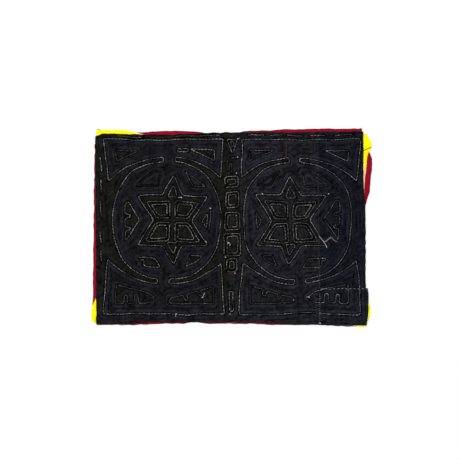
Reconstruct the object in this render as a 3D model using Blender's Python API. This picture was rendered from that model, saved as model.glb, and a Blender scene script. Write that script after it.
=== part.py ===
"""A mola panel of three cotton layers, lying face down so that its sewn back is on top.

Metres, +Z up. The face cloth rests on Z = 0, the panel's middle is at the origin and its long side
runs along X. The tables below are in millimetres, and MM turns them into metres.
"""

import math
from collections import namedtuple

import bmesh
import bpy
import numpy as np
from mathutils.geometry import delaunay_2d_cdt

MM = 0.001

# Driving dimensions
SHEET = 1.0  # thickness of one cotton layer
GAP = 0.3  # room between two layers
LAP = 6.0  # width of the margin that runs under the next backing piece
LAP_CLEAR = 0.6  # from that margin's edge to where the upper piece starts down
LAP_RAMP = 4.5  # length over which the upper piece comes down
SEAM_MIDDLE = 132.0  # X of the long backing seam at the panel's middle
SEAM_SLANT = -0.0135  # how far that seam leans, X for each unit of Y
MEND_TOP = -91.5  # Y of the corner mend's upper edge
CREASE = 0.55  # how deep a stitched line is drawn into the cloth
CREASE_REACH = 1.6  # distance over which the cloth rises again beside the line
CREASE_STEP = 9.0  # distance between points along a stitched line
RAIL = 1.7  # distance from a stitched line to the rows of points that keep its shape
CLOTH_STEP = 11.0  # distance between points on open cloth that is sewn over
PLAIN_STEP = 48.0  # the same on cloth that isn't
EDGE_STEP = 5.5  # distance between points along a cut edge
LINE_CLEAR = 4.0  # open cloth starts this far from a stitched line

Side = namedtuple("Side", "place lean waver swells", defaults=(0, 0, ()))
Swell = namedtuple("Swell", "start end ramp shift")
Cloth = namedtuple("Cloth", "bottom right top left")

# A cut edge is a line at a place from the panel's middle that leans by so much for each unit along it,
# and wavers a little. A swell shifts it from start to end, to +X or +Y, and eases off over a ramp.
WAVER_LENGTHS = 43.0, 17.0
RED = Cloth(
    bottom=Side(-148.0, 0, 0.4, (
        Swell(-100, 20, 50, 1.9),
        Swell(-60, -54, 16, 2.2),
        Swell(170, 230, 30, -2.3),
    )),
    right=Side(202.0, 0, 0.4, (
        Swell(70, 70, 50, 9.5),
        Swell(106, 106, 34, 9.2),
        Swell(150, 170, 22, -3.6),
    )),
    top=Side(147.0, 0.0215, 0.3, (
        Swell(-206, -200, 8, 7.0),
        Swell(-110, -85, 50, 2.3),
        Swell(-25, -5, 32, -4.5),
        Swell(75, 150, 12, 1.0),
    )),
    left=Side(-210.3, 0.012, 0.7, (
        Swell(150, 170, 28, 4.0),
        Swell(-170, -152, 24, 7.0),
    )),
)
YELLOW = Cloth(
    bottom=Side(-142.6, -0.012, 0.3, (
        Swell(-206, -204, 10, -6.0),
        Swell(202, 230, 44, -6.4),
    )),
    right=Side(201.3, 0.008, 0.3, (
        Swell(127, 127, 22, 8.5),
        Swell(106, 106, 48, 3.5),
        Swell(-127, -127, 40, 11.5),
    )),
    top=Side(142.0, 0.006, 0.3, (
        Swell(-230, -172, 50, 8.0),
        Swell(-8, -8, 14, 4.0),
    )),
    left=Side(-204.8, 0, 0.3, (
        Swell(-138, -130, 34, -9.0),
        Swell(140, 170, 40, -1.4),
    )),
)
YELLOW_FOLD = ((197, 116), (209.6, 121))  # the crease across the yellow where it stands proud
BACKING_TOP = Side(144.0, 0.013, 0.4, (
    Swell(-215, -204, 8, -1.8),
    Swell(-195, -176, 15, 1.6),
    Swell(-115, -80, 25, -0.9),
    Swell(-25, 60, 25, 0.9),
))
BACKING_BOTTOM = Side(-143.6, 0, 0.3, (
    Swell(-230, -165, 40, -2.8),
    Swell(124, 132, 14, 1.2),
    Swell(160, 230, 150, -4.8),
))
BACKING_LEFT = Side(-206.8, -0.006, 0.4)
BACKING_RIGHT = Side(203.5, 0, 0.3, (Swell(85, 170, 75, -3.6),))
MEND_RIGHT = Side(205.0, 0, 0.2, (Swell(-124, -104, 26, 2.8),))

# Half of the sewn pattern. p runs away from the middle column and v runs up, both from the ring's centre.
# The other half mirrors it.
RING_X, RING_Y = 99.5, 11.0
BLOCK_TOP, BLOCK_BOTTOM = 123.5, -142.0  # the dark block that holds the ring
BLOCK_OUTER, BLOCK_TOP_INNER, BLOCK_LOW_INNER = 96.0, -85.0, -89.0  # its corners
HORN_OUTER, HORN_INNER = 90.0, -83.5  # where its sides reach the channel
MEDALLION_WIDE, MEDALLION_HIGH, MEDALLION_SQUARENESS = 82.0, 88.5, 2.4
RING_WIDE, RING_HIGH = 114.5, 96.0  # the ellipse that bounds the channel round the medallion
TOP_NECK, BOTTOM_NECK = -5.0, 5.0  # middles of the two bridges that cross the channel
NECK_HALF = 8.3
STAR_SHIFT = -9.5  # the star sits nearer to the column than the ring's centre
STAR_APEX = 67.0
STAR_APEX_LEAN = -2.5  # its upper and lower points lean towards the column
STAR_POINT_WIDE, STAR_POINT_HIGH = 53.0, 38.0
STAR_WAIST, STAR_SHOULDER = 28.0, 14.5
PANE_INNER, PANE_SILL, PANE_SILL_WIDE = 4.0, 3.5, 23.5
UPPER_HEAD, UPPER_HEAD_WIDE = 28.5, 39.0  # far side of the two upper panes
LOWER_HEAD, LOWER_HEAD_WIDE = 32.0, 41.5  # and of the lower ones
DOUBLE = 4.2  # distance between the two outlines of a pane or a column box
TIP_BASE, TIP_APEX, TIP_HALF = 34.5, 53.0, 7.2  # the small triangles in the star's upper and lower points

Filler = namedtuple("Filler", "name corners")
FILLERS = (
    Filler("outer triangle", ((40, 1), (59, 31), (64, 28), (63, -31))),
    Filler("inner triangle", ((-63, 12), (-54, 0), (-61, -12))),
    Filler("lower outer trapezium", ((43, -57), (17, -57), (9, -71), (33, -71))),
    Filler("lower inner leaf", ((-38, -53), (-54, -54), (-48, -61), (-30, -69))),
    Filler("upper inner blade", ((-28, 73), (-59, 52), (-40, 52))),
    Filler("upper outer blade", ((7, 74), (18, 75), (46, 53), (11, 53))),
    Filler("top outer triangle", ((78, 106), (43, 107), (77, 89))),
    Filler("top inner triangle", ((-73, 107), (-35, 108), (-73, 91))),
    Filler("bottom outer wedge", ((76, -97), (78, -126), (28, -126), (17, -117), (26, -110))),
    Filler("bottom inner wedge", ((-72, -100), (-72, -126), (-4, -125), (-4, -118))),
)

Box = namedtuple("Box", "middle width height outlines")
COLUMN_BOXES = (
    Box(71, 20, 16, 2),
    Box(43, 20, 24, 2),
    Box(10, 22, 26, 2),
    Box(-26, 24, 34, 2),
    Box(-58, 15, 20, 2),
    Box(-113, 5, 30, 1),
)
COLUMN_TRIANGLE = ((-8, 134), (8, 134), (1, 113))
TOP_BASTING_Y = 140.0
TOP_BASTING_END = 196.0


def clear_scene():
    for thing in list(bpy.data.objects):
        bpy.data.objects.remove(thing, do_unlink=True)


def cotton(name, colour, roughness=0.9):
    material = bpy.data.materials.new(name)
    material.use_nodes = True
    shader = material.node_tree.nodes["Principled BSDF"]
    shader.inputs["Base Color"].default_value = (*colour, 1)
    shader.inputs["Roughness"].default_value = roughness
    shader.inputs["Metallic"].default_value = 0.0
    return material


def reach(side, along):
    """Where a side lies at places along it."""
    place = side.place + side.lean * along
    for swell in side.swells:
        beyond = np.maximum(np.maximum(swell.start - along, along - swell.end), 0)
        place = place + swell.shift * (1 + np.cos(math.pi * np.minimum(beyond / swell.ramp, 1))) / 2
    for length in WAVER_LENGTHS:
        place = place + side.waver * np.sin(2 * math.pi * along / length + side.place) / len(WAVER_LENGTHS)
    return place


def spot(cloth, s, t):
    """The point a share s across and a share t up a cloth whose four sides are uneven."""
    x, y = 0 * s, 0 * t
    for _ in range(12):
        left, right = reach(cloth.left, y), reach(cloth.right, y)
        bottom, top = reach(cloth.bottom, x), reach(cloth.top, x)
        x, y = left + s * (right - left), bottom + t * (top - bottom)
    return np.stack([x, y], axis=-1)


def cloth_size(cloth):
    low, high = spot(cloth, np.array([0.0, 1.0]), np.array([0.0, 1.0]))
    return high - low


def stations(start, end):
    """Places along a side in even steps, from one corner up to the next."""
    steps = math.ceil(abs(end - start) / EDGE_STEP)
    return start + (end - start) * np.arange(steps) / steps


def outline(cloth):
    """The cut edge, counter-clockwise from the lower left corner."""
    corners = spot(cloth, np.array([0.0, 1, 1, 0]), np.array([0.0, 0, 1, 1]))
    (x0, y0), (x1, y1), (x2, y2), (x3, y3) = corners
    bottom, right = stations(x0, x1), stations(y1, y2)
    top, left = stations(x2, x3), stations(y3, y0)
    return np.concatenate(
        [
            np.stack([bottom, reach(cloth.bottom, bottom)], axis=1),
            np.stack([reach(cloth.right, right), right], axis=1),
            np.stack([top, reach(cloth.top, top)], axis=1),
            np.stack([reach(cloth.left, left), left], axis=1),
        ]
    )


def open_points(cloth, step):
    """Rows of points over the cloth, each second row shifted by half a step."""
    wide, high = cloth_size(cloth)
    columns, rows = round(wide / step), round(high / step)
    s, t = np.meshgrid(np.arange(1, columns) / columns, np.arange(1, rows) / rows)
    s = s + (np.arange(1, rows) % 2 - 0.5)[:, None] * 0.5 / columns
    return spot(cloth, s.ravel(), t.ravel())


def ellipse_arc(start, end, side):
    """The channel's outer ellipse from one p to another, above (side 1) or below (side -1)."""
    p = np.linspace(start, end, 12)
    return [(u, side * RING_HIGH * math.sqrt(1 - (u / RING_WIDE) ** 2)) for u in p]


def medallion_arc(start, end, side):
    """The medallion's edge from its top at p = start round one side to its bottom at p = end."""
    power = 2 / MEDALLION_SQUARENESS

    def angle_at(p):
        return math.acos(math.copysign(abs(p / MEDALLION_WIDE) ** (1 / power), p))

    last = -angle_at(end) if side > 0 else 2 * math.pi - angle_at(end)
    points = []
    for angle in np.linspace(angle_at(start), last, 36):
        across, up = math.cos(angle), math.sin(angle)
        points.append(
            (
                math.copysign(MEDALLION_WIDE * abs(across) ** power, across),
                math.copysign(MEDALLION_HIGH * abs(up) ** power, up),
            )
        )
    return points


def ring_block():
    """The dark block's edge as one loop: four corner pieces bridged to the medallion by two necks."""
    top_in, top_out = TOP_NECK - NECK_HALF, TOP_NECK + NECK_HALF
    low_in, low_out = BOTTOM_NECK - NECK_HALF, BOTTOM_NECK + NECK_HALF
    return [
        (BLOCK_OUTER, BLOCK_TOP),
        (BLOCK_TOP_INNER, BLOCK_TOP),
        *ellipse_arc(HORN_INNER, top_in, 1),
        *medallion_arc(top_in, low_in, -1),
        *ellipse_arc(low_in, HORN_INNER, -1),
        (BLOCK_LOW_INNER, BLOCK_BOTTOM),
        (BLOCK_OUTER, BLOCK_BOTTOM),
        *ellipse_arc(HORN_OUTER, low_out, -1),
        *medallion_arc(top_out, low_out, 1)[::-1],
        *ellipse_arc(top_out, HORN_OUTER, 1),
    ]


def star():
    upper = [(STAR_SHOULDER, STAR_POINT_HIGH), (STAR_POINT_WIDE, STAR_POINT_HIGH)]
    right = [*upper, (STAR_WAIST, 0), *[(u, -v) for u, v in upper[::-1]]]
    left = [(-u, v) for u, v in right[::-1]]
    loop = [(STAR_APEX_LEAN, STAR_APEX), *right, (STAR_APEX_LEAN, -STAR_APEX), *left]
    return [(u + STAR_SHIFT, v) for u, v in loop]


def pane(across, up, inset):
    """One of the star's four panes, or the second outline at an inset inside it."""
    head, head_wide = (UPPER_HEAD, UPPER_HEAD_WIDE) if up > 0 else (LOWER_HEAD, LOWER_HEAD_WIDE)
    lean = (head_wide - PANE_SILL_WIDE) / (head - PANE_SILL)
    slack = inset * math.hypot(1, lean)
    low, high = PANE_SILL + inset, head - inset
    corners = [
        (PANE_INNER + inset, low),
        (PANE_SILL_WIDE + inset * lean - slack, low),
        (head_wide - inset * lean - slack, high),
        (PANE_INNER + inset, high),
    ]
    return [(STAR_SHIFT + across * u, up * v) for u, v in corners]


def star_tip(up):
    corners = [(-TIP_HALF, TIP_BASE), (TIP_HALF, TIP_BASE), (STAR_APEX_LEAN, TIP_APEX)]
    return [(STAR_SHIFT + u, up * v) for u, v in corners]


def column_shapes():
    for box in COLUMN_BOXES:
        for inset in (0, DOUBLE)[: box.outlines]:
            wide, high = box.width / 2 - inset, box.height / 2 - inset
            yield [
                (-wide, box.middle - high),
                (wide, box.middle - high),
                (wide, box.middle + high),
                (-wide, box.middle + high),
            ]
    yield list(COLUMN_TRIANGLE)


def stitched_lines():
    """Every stitched outline as a run of points in panel millimetres, closed unless it is the basting."""
    half = [ring_block(), star()]
    half += [pane(across, up, inset) for across in (-1, 1) for up in (-1, 1) for inset in (0, DOUBLE)]
    half += [star_tip(up) for up in (-1, 1)]
    half += [list(filler.corners) for filler in FILLERS]
    shapes = [[(side * (RING_X + p), RING_Y + v) for p, v in shape] for side in (-1, 1) for shape in half]
    shapes += column_shapes()
    lines = [walk(shape + shape[:1]) for shape in shapes]
    lines.append(walk([(-TOP_BASTING_END, TOP_BASTING_Y), (TOP_BASTING_END, TOP_BASTING_Y)]))
    return lines


def walk(corners):
    """Points along a run of corners, no further apart than the crease step."""
    points = [corners[0]]
    for (x0, y0), (x1, y1) in zip(corners, corners[1:]):
        length = math.hypot(x1 - x0, y1 - y0)
        if length < 0.01:
            continue
        steps = math.ceil(length / CREASE_STEP)
        points += [(x0 + (x1 - x0) * n / steps, y0 + (y1 - y0) * n / steps) for n in range(1, steps + 1)]
    return np.array(points)


def distance_to(points, segments):
    """From each point to the nearest of the segments, given as their two ends."""
    if not len(segments):
        return np.full(len(points), np.inf)
    start, run = segments[:, 0], segments[:, 1] - segments[:, 0]
    offset = points[:, None] - start[None]
    share = np.clip((offset * run).sum(-1) / (run * run).sum(-1), 0, 1)
    return np.linalg.norm(offset - share[..., None] * run, axis=-1).min(axis=1)


def edge_segments(loop):
    return np.stack([loop, np.roll(loop, -1, axis=0)], axis=1)


def rails(line):
    """The two rows of points beside a stitched line."""
    run = np.gradient(line, axis=0)
    run /= np.linalg.norm(run, axis=1)[:, None]
    across = np.stack([-run[:, 1], run[:, 0]], axis=1)
    return line + RAIL * across, line - RAIL * across


def stretches(line, inside):
    """The segments of a line whose two ends both lie inside."""
    both = inside[:-1] & inside[1:]
    return np.stack([line[:-1], line[1:]], axis=1)[both]


def creases_on(loop, keep, lines):
    """The stretches of stitched line that lie on this cloth, well inside its cut edge, and their rails."""

    def on_cloth(points):
        return within(loop, points) & keep(points) & (distance_to(points, edge_segments(loop)) > 1.5)

    creases = np.concatenate([stretches(line, on_cloth(line)) for line in lines])
    sides = [rail for line in lines for rail in rails(line)]
    clear = [on_cloth(rail) & (distance_to(rail, creases) > 0.9 * RAIL) for rail in sides]
    return creases, np.concatenate([stretches(rail, free) for rail, free in zip(sides, clear)])


def within(loop, points):
    """Which points lie inside the loop, by counting the edges that pass to their right."""
    (x0, y0), (x1, y1) = loop.T[..., None], np.roll(loop, -1, axis=0).T[..., None]
    x, y = points.T[:, None]
    crosses = (y0 > y) != (y1 > y)
    with np.errstate(divide="ignore", invalid="ignore"):
        at = x0 + (y - y0) * (x1 - x0) / (y1 - y0)
    return (crosses & (x < at)).sum(axis=0) % 2 == 1


def seam_x(y):
    return SEAM_MIDDLE + SEAM_SLANT * y


def step_down(distance):
    """How much of a lap's rise is left, this far past the edge of the piece underneath."""
    return 1 - np.clip((distance - LAP_CLEAR) / LAP_RAMP, 0, 1)


def lap_rise(points):
    """How high the side piece is lifted, where it lies on the main piece's margin."""
    return (SHEET + GAP) * step_down(points[:, 0] - seam_x(points[:, 1]) - LAP)


def mend_rise(points):
    """How high the mend is lifted, on the main piece's margin and on the side piece's lower margin."""
    return lap_rise(points) + (SHEET + GAP) * step_down(MEND_TOP - LAP - points[:, 1])


def flat_rise(points):
    return np.zeros(len(points))


def everywhere(points):
    return np.ones(len(points), bool)


def ramp_lines(low_y, high_y):
    """The two bends of the ramp beside the long seam, as segments that a piece's mesh follows."""
    return [
        np.array([(seam_x(y) + LAP + beyond, y) for y in (high_y, low_y)])
        for beyond in (LAP_CLEAR, LAP_CLEAR + LAP_RAMP)
    ]


def mend_ramp_lines(left_x, right_x):
    return [
        np.array([(x, MEND_TOP - LAP - beyond) for x in (left_x, right_x)])
        for beyond in (LAP_CLEAR, LAP_CLEAR + LAP_RAMP)
    ]


def mesh_points(loop, segments, loose):
    """The triangulation of an outline with the segments kept as edges, as points and triangles."""
    ends = segments.reshape(-1, 2)
    points = np.concatenate([loop, ends, loose])
    first = len(loop)
    edges = [(first + 2 * n, first + 2 * n + 1) for n in range(len(segments))]
    face = list(range(len(loop)))
    made, _, faces, *_ = delaunay_2d_cdt([tuple(point) for point in points], edges, [face], 1, 1e-4)
    made = np.array([tuple(point) for point in made])
    middles = made[np.array(faces)].mean(axis=1)
    faces = np.array(faces)[within(loop, middles)]
    used, faces = np.unique(faces, return_inverse=True)
    return made[used], faces.reshape(-1, 3)


def sheet_object(
    name, cloth, bottom, material, step=CLOTH_STEP, rise=flat_rise, bends=(), lines=(), keep=everywhere
):
    """One cotton piece as a closed solid: its upper face with the stitched lines drawn in, its walls
    and a plain under face, both following the laps underneath."""
    loop = outline(cloth)
    none = np.zeros((0, 2, 2))
    creases, sides = creases_on(loop, keep, lines) if lines else (none, none)
    bend_segments = np.array(list(bends)).reshape(-1, 2, 2)
    kept = np.concatenate([creases, sides, bend_segments])
    loose = open_points(cloth, step)
    loose = loose[distance_to(loose, kept) > LINE_CLEAR]
    loose = loose[distance_to(loose, edge_segments(loop)) > LINE_CLEAR]

    top_points, top_faces = mesh_points(loop, kept, loose)
    low_points, low_faces = mesh_points(loop, bend_segments, np.zeros((0, 2)))
    drawn = CREASE * np.exp(-distance_to(top_points, creases) / CREASE_REACH)
    drawn[distance_to(top_points, edge_segments(loop)) < 0.01] = 0
    top_z = bottom + SHEET + rise(top_points) - drawn
    low_z = bottom + rise(low_points)

    shape = bmesh.new()
    upper = [shape.verts.new((x * MM, y * MM, z * MM)) for (x, y), z in zip(top_points, top_z)]
    lower = [shape.verts.new((x * MM, y * MM, z * MM)) for (x, y), z in zip(low_points, low_z)]
    for face in top_faces:
        shape.faces.new([upper[n] for n in face])
    for face in low_faces:
        shape.faces.new([lower[n] for n in reversed(face)])
    rims = [edge for edge in shape.edges if edge.is_boundary]
    bmesh.ops.bridge_loops(shape, edges=rims)
    bmesh.ops.triangulate(shape, faces=[face for face in shape.faces if len(face.verts) > 3])
    bmesh.ops.recalc_face_normals(shape, faces=shape.faces)

    mesh = bpy.data.meshes.new(name)
    shape.to_mesh(mesh)
    shape.free()
    mesh.materials.append(material)
    piece = bpy.data.objects.new(name, mesh)
    bpy.context.scene.collection.objects.link(piece)
    return piece


def build():
    clear_scene()
    black = cotton("black cotton", (0.012, 0.011, 0.013))
    navy = cotton("navy cotton", (0.011, 0.012, 0.018))
    blue_black = cotton("blue black cotton", (0.013, 0.013, 0.021))
    yellow = cotton("yellow cotton", (0.95, 0.85, 0.01))
    red = cotton("crimson cotton", (0.30, 0.003, 0.016))

    yellow_z = SHEET + GAP
    backing_z = yellow_z + SHEET + GAP
    seam = Side(SEAM_MIDDLE, SEAM_SLANT)
    seam_margin = Side(SEAM_MIDDLE + LAP, SEAM_SLANT)
    mend_top = Side(MEND_TOP)
    side_bottom = Side(MEND_TOP - LAP)

    main = Cloth(BACKING_BOTTOM, seam_margin, BACKING_TOP, BACKING_LEFT)
    side = Cloth(side_bottom, BACKING_RIGHT, BACKING_TOP, seam)
    mend = Cloth(BACKING_BOTTOM, MEND_RIGHT, mend_top, seam)

    def left_of_seam(points):
        return points[:, 0] < seam_x(points[:, 1])

    def above_mend(points):
        return points[:, 1] > MEND_TOP

    stitched = stitched_lines()
    fold = [walk(YELLOW_FOLD)]
    sheet_object("red_layer", RED, 0, red, step=PLAIN_STEP)
    sheet_object("yellow_layer", YELLOW, yellow_z, yellow, step=PLAIN_STEP, lines=fold)
    sheet_object("backing_main", main, backing_z, black, lines=stitched, keep=left_of_seam)
    sheet_object(
        "backing_side",
        side,
        backing_z,
        navy,
        rise=lap_rise,
        bends=ramp_lines(-160, 160),
        lines=stitched,
        keep=above_mend,
    )
    sheet_object(
        "backing_corner",
        mend,
        backing_z,
        blue_black,
        rise=mend_rise,
        bends=ramp_lines(-160, -80) + mend_ramp_lines(120, 220),
        lines=stitched,
    )


build()
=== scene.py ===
"""How a mola panel looks as it lies face down: its cotton layers, the sewing on its back, floor and light.

The cut edges and the heights of the pieces are read from the frame. Lengths in the tables are in
millimetres, X along the panel's long side and Y up the panel, and MM turns them into metres.
"""

import math
from collections import namedtuple

import bmesh
import bpy
import numpy as np
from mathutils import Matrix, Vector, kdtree


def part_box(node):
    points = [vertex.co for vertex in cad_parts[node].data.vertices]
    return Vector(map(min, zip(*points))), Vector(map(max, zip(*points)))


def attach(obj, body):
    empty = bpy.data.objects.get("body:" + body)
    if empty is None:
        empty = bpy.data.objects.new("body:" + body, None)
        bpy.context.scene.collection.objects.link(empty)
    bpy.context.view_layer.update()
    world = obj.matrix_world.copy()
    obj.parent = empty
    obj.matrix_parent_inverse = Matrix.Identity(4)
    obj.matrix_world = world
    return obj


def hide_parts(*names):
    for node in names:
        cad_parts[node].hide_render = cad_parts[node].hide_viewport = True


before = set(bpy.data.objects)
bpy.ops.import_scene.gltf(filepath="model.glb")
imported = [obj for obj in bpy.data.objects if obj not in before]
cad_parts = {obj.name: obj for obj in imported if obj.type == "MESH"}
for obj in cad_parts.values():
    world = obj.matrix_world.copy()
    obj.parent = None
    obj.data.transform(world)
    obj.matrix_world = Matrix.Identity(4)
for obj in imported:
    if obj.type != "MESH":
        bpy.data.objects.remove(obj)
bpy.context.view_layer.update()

MM = 0.001

# The sheets
THICK = 0.9  # a layer with its folded edges, a little under the solid's
SEWN_GRID, MARGIN_GRID = (1.15, 0.0), (1.6, 0.12)  # how far apart points lie, and how they crowd at edges
UNDER_PITCH = 6.0  # how far apart they lie on under faces
LIFT = 0.45  # how unevenly the whole panel lies on the floor
LAP_CLEAR, LAP_RAMP = 0.6, 4.5  # where a lapped piece starts down, and over what length
UPRIGHT = 0.05  # a solid's face whose normal rises less than this is part of a cut edge
KEEN_EDGE = math.radians(60)

# Their cut edges
FRAY, FRAY_PITCH = 0.28, 13  # how uneven an edge is, and how far apart its humps lie
FINE_FRAY, FINE_FRAY_PITCH = 0.7, 4.5  # a finer unevenness, as a share of the first
FRAY_APART = 37.0  # sets one side's unevenness apart from the next one's
EDGE_ROLL, EDGE_DROP = 1.6, 0.35  # an edge rounds over this far in, by this much
SEWN_DROP, SEWN_EDGE = 0.5, 1.5  # share of that drop on sewn cloth, and where its relief is full
PUFF, PUFF_RISE, PUFF_END, PUFF_FALL = 0.16, 2, 9, 5  # how a margin puffs up and sinks again
FIT_ROUNDS = 10  # rounds in which a point finds its place between four uneven sides

# What sewing does to the cloth
TROUGH, TROUGH_REACH = 0.6, 2.0  # a sewn line is drawn in this deep, over this distance
ECHO_TROUGH, ECHO_REACH = 0.3, 1.1  # the same for a line sewn in black thread
FOLD_HIGH, FOLD_WIDE = 0.5, 5.6  # the turned edge beside a line, raised inside the dark block
FOLD_START, FOLD_RAMP = 1.4, 1.8  # where it starts, and over what length it rises and falls
FOLD_OUTSIDE = 0.25  # how much of it is left outside the block
BLOCK_BLEND = 1.6  # over what length the block's cloth begins
FOOT_BLOCK, FOOT_ABOVE, FOOT_BLEND = 0.7, 1, 3  # how like the block the cloth is, from just above its foot
RIPPLE, RIPPLE_PITCH = 0.16, 5.4  # the faint ripples that follow the lines
RIPPLE_START, RIPPLE_RAMP = 3, 4
PUCKER = 0.12  # the small unevenness of cloth that is sewn all over
DEEPEST, HIGHEST = -0.6, 0.6

# Measures that vary over the cloth; apart is the distance between humps. Each is a sum of a few waves.
WAVES, WAVE_SPREAD, WAVE_SUM = 7, (0.7, 1.4), 3.2
Uneven = namedtuple("Uneven", "mean swing apart seed")
PANEL_LIFT = Uneven(1, 1, 140, 11)
FOLD_WIDTH = Uneven(1, 0.3, 19, 31)
FOLD_HEIGHT = Uneven(0.75, 0.35, 16, 33)
TROUGH_DEPTH = Uneven(0.8, 0.25, 9, 35)
RIPPLE_HEIGHT = Uneven(0.6, 0.6, 34, 37)
PUCKERS = (Uneven(0, 1, 21, 39), Uneven(0, 1, 8, 41), Uneven(0, 0.6, 4.2, 43))
MARGIN_PUFF = Uneven(1, 1, 17, 51)
MARGIN_DIMPLES = Uneven(0, 0.05, 8, 53)
THREAD_TONE = Uneven(0.68, 0.36, 26, 71)
WANDER_X = (Uneven(0, 1.2, 115, 201), Uneven(0, 0.6, 40, 202), Uneven(0, 0.24, 11, 203))
WANDER_Y = (Uneven(0, 1.2, 115, 211), Uneven(0, 0.6, 40, 212), Uneven(0, 0.24, 11, 213))

# Marks on the cloths: name, strength and bounds. Each bound is a way across the panel, how far that way
# the mark starts, and over what length it grows.
RIGHT, LEFT, UP, DOWN = (1, 0), (-1, 0), (0, 1), (0, -1)
LOWEST, TOPMOST = (DOWN, 140, 4), (UP, 139, 3)
RED_MARKS = (
    ("fade", 1.0, (LOWEST, (LEFT, 150, 12))),
    ("fade", 0.8, (LOWEST, (RIGHT, -14, 4), (LEFT, -8, 4))),
    ("fade", 0.8, (LOWEST, (RIGHT, 132, 10))),
    # painted shade on the red corner tip at the top left, which lies in shadow
    ("darkened", 1.0, ((UP, 146, 3), (LEFT, 196, 4))),
    # darker along the top middle
    ("darkened", 0.85, (TOPMOST, (RIGHT, -52, 8), (LEFT, -27, 8))),
)
YELLOW_MARKS = (
    ("fade", 1.0, (TOPMOST, (RIGHT, -148, 8), (LEFT, 112, 8))),
    ("fade", 1.0, ((RIGHT, 198, 2), (DOWN, -98, 14), (UP, -96, 10))),
    ("lemon", 1.0, ((DOWN, 90, 10), (RIGHT, 100, 20))),
    # darker olive along the top middle
    ("dimmed", 1.0, (TOPMOST, (RIGHT, -40, 8), (LEFT, -40, 8))),
)
BLACK_MARKS = (("faded", 0.3, ((RIGHT, -16, 30),)), ("faded", 0.2, ((DOWN, 80, 45),)))

YELLOW_FOLD = ((198.5, 116.8), (211.5, 122.0))  # pressed across the yellow margin
FOLD_REACH, FOLD_DEEP, FOLD_GROWS = 1.0, 0.4, 2
FOLD_SHADOW_INNER, FOLD_SHADOW_OUTER, FOLD_SHADOW_STRENGTH = 0.35, 1.1, 0.85  # how wide its painted shadow line is, and how strong

# Half of the sewn pattern: p runs away from the middle column and v up, both from the ring's centre
RING_X, RING_Y = 99.5, 11.0
BLOCK_TOP, BLOCK_BOTTOM = 123.5, -142.0
BLOCK_OUTER, BLOCK_TOP_INNER, BLOCK_LOW_INNER = 96.0, -85.0, -89.0
HORN_OUTER, HORN_INNER = 90.0, -83.5
MEDALLION_WIDE, MEDALLION_HIGH, MEDALLION_SQUARENESS = 82.0, 88.5, 2.4
RING_WIDE, RING_HIGH = 114.5, 96.0
TOP_NECK, BOTTOM_NECK = -5.0, 5.0
NECK_HALF = 8.3
STAR_SHIFT = -9.5
STAR_APEX, STAR_APEX_LEAN = 67.0, -2.5
STAR_POINT_WIDE, STAR_POINT_HIGH = 53.0, 38.0
STAR_WAIST, STAR_SHOULDER = 28.0, 14.5
PANE_INNER, PANE_SILL, PANE_SILL_WIDE = 4.0, 3.5, 23.5
UPPER_HEAD, UPPER_HEAD_WIDE = 28.5, 39.0
LOWER_HEAD, LOWER_HEAD_WIDE = 32.0, 41.5
DOUBLE = 4.2  # distance between two outlines of one shape
TIP_BASE, TIP_APEX, TIP_HALF = 34.5, 53.0, 7.2
RING_STEPS, MEDALLION_STEPS = 24, 72  # points along each of their arcs
SHARPEST = 0.35  # keeps a narrow corner from running far out when its outline is moved

PALE, PLAIN, FAINT, BLACK = 1.0, 0.75, 0.4, 0.0  # how pale a thread is

# The shapes that fill the block: how pale they are in the left and the right half, how many lines echo
# them, the slits that give one side teeth, and whether the black is cut away inside
Slits = namedtuple("Slits", "side count deep wide")
Filler = namedtuple("Filler", "left right corners echoes slits cut", defaults=(1, None, True))
FILLERS = (
    # outer and inner triangle
    Filler(PALE, PLAIN, ((40, 1), (59, 31), (64, 28), (63, -31)), slits=Slits(2, 2, 9, 5)),
    Filler(PLAIN, PLAIN, ((-63, 12), (-54, 0), (-61, -12))),
    # lower outer trapezium, and lower inner leaf
    Filler(PALE, PLAIN, ((43, -57), (17, -57), (9, -71), (33, -71)), slits=Slits(3, 1, 4, 4)),
    Filler(PLAIN, FAINT, ((-38, -53), (-54, -54), (-48, -61), (-30, -69))),
    # upper inner and outer blade
    Filler(FAINT, BLACK, ((-28, 73), (-59, 52), (-40, 52)), 2, cut=False),
    Filler(BLACK, FAINT, ((7, 74), (18, 75), (46, 53), (11, 53)), 2, cut=False),
    # top outer and inner triangle
    Filler(FAINT, PALE, ((78, 106), (43, 107), (77, 89))),
    Filler(PALE, FAINT, ((-73, 107), (-35, 108), (-73, 91))),
    # bottom outer and inner wedge
    Filler(FAINT, PALE, ((76, -97), (78, -126), (28, -126), (17, -117), (26, -110)), 2, Slits(1, 2, 13, 5.5)),
    Filler(FAINT, FAINT, ((-72, -100), (-72, -126), (-4, -125), (-4, -118)), 2, Slits(3, 2, 9, 5)),
)

Box = namedtuple("Box", "middle width height outlines", defaults=(2,))
COLUMN_BOXES = (
    Box(71, 20, 16), Box(43, 20, 24), Box(10, 22, 26),
    Box(-26, 24, 34), Box(-58, 15, 20), Box(-113, 5, 30, 1),
)
COLUMN_TRIANGLE = ((-8, 134), (8, 134), (1, 113))

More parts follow.
